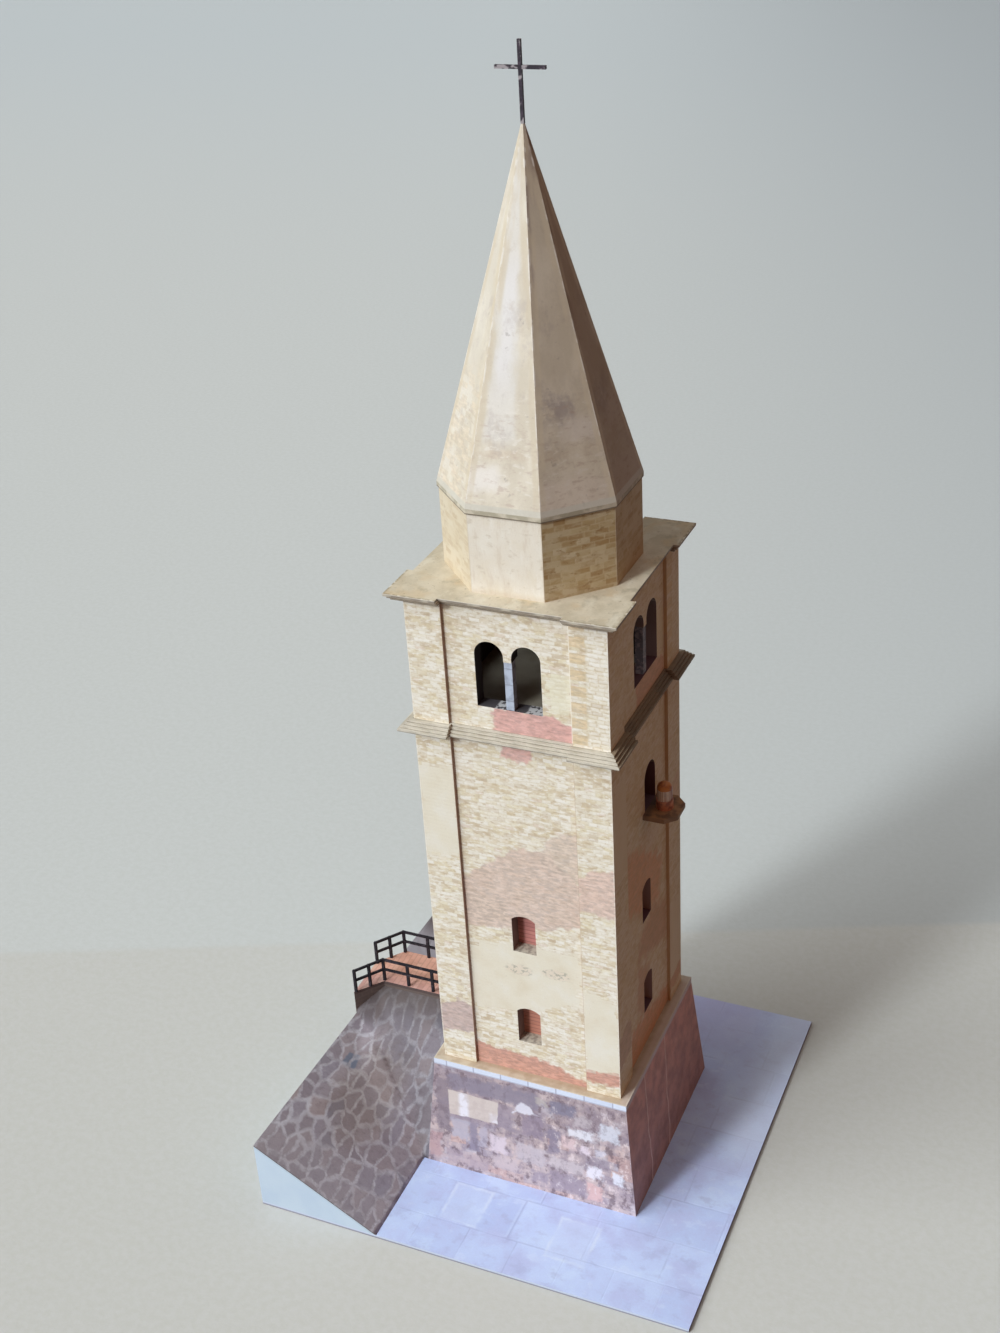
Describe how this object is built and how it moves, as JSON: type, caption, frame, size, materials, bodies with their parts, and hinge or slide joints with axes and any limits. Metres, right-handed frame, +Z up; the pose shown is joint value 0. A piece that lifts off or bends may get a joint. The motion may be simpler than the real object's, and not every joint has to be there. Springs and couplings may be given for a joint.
{
  "type": "card model of a bell tower lighthouse",
  "caption": "Card model of a square brick bell tower with paired belfry arches, octagonal spire, cross and small harbour lamp, on a paved base with stone slope and railed terrace.",
  "frame": {"origin": "on the tower's vertical axis, at the underside of the base card", "axes": "+Z up the tower, +X to the lamp's side, -Y to the front face with the twin arches seen first"},
  "size_m": [0.097, 0.096, 0.2339],
  "materials": {
    "paving": "printed card, pale lavender-blue flags",
    "slope_stone": "printed card, dark rubble stones with pale joints",
    "plain_card": "plain pale card",
    "terrace_wall": "printed card, dark brown stone",
    "terrace_brick": "printed card, orange-pink bricks",
    "railing": "matte black",
    "plinth_stone": "printed card, weathered purple-grey stone",
    "plinth_cap": "printed card, pale fascia and tan ledge",
    "shaft_brick": "printed card, ochre bricks with plaster patches",
    "pilaster_brick": "printed card, ochre bricks and plaster",
    "shutter": "printed card, red-brown boards",
    "cornice": "printed card with pale cut edges",
    "eave": "printed card, tan",
    "belfry_brick": "printed card, ochre bricks with plaster patches",
    "column": "printed card, pale blue stone",
    "drum_brick": "printed card, ochre bricks and plaster",
    "spire_band": "printed card, grey-tan",
    "spire_plaster": "printed card, pale weathered plaster",
    "cross_wire": "black wire",
    "lamp_shelf": "printed card, grey-brown",
    "lamp_red": "orange-red gloss",
    "lamp_white": "white gloss"
  },
  "bodies": {
    "root": {"base_card": "paving", "slope_stones": "slope_stone", "slope_front_end": "plain_card", "slope_rear_end": "plain_card", "slope_left_wall": "plain_card", "terrace_walls": "terrace_wall", "terrace_deck": "terrace_brick", "front_railing": "railing", "rear_railing": "railing", "plinth_front": "plinth_stone", "plinth_right": "plinth_stone", "plinth_back": "plinth_stone", "plinth_left": "plinth_stone", "plinth_cap": "plinth_cap", "shaft_front": "shaft_brick", "shaft_right": "shaft_brick", "shaft_back": "shaft_brick", "shaft_left": "shaft_brick", "shaft_pilaster_fl": "pilaster_brick", "shaft_pilaster_fr": "pilaster_brick", "shaft_pilaster_br": "pilaster_brick", "shaft_pilaster_bl": "pilaster_brick", "front_shutters": "shutter", "right_shutters": "shutter", "back_shutters": "shutter", "left_shutters": "shutter", "mid_cornice_lower": "cornice", "mid_cornice_upper": "cornice", "belfry_front": "belfry_brick", "belfry_right": "belfry_brick", "belfry_back": "belfry_brick", "belfry_left": "belfry_brick", "belfry_pilaster_fl": "pilaster_brick", "belfry_pilaster_fr": "pilaster_brick", "belfry_pilaster_br": "pilaster_brick", "belfry_pilaster_bl": "pilaster_brick", "belfry_columns": "column", "top_cornice": "cornice", "eave_plate": "eave", "drum": "drum_brick", "spire_band": "spire_band", "spire": "spire_plaster", "cross": "cross_wire", "lamp_shelf": "lamp_shelf", "lamp_base": "lamp_red", "lamp_lens": "lamp_white", "lamp_dome": "lamp_red"}
  },
  "joints": []
}
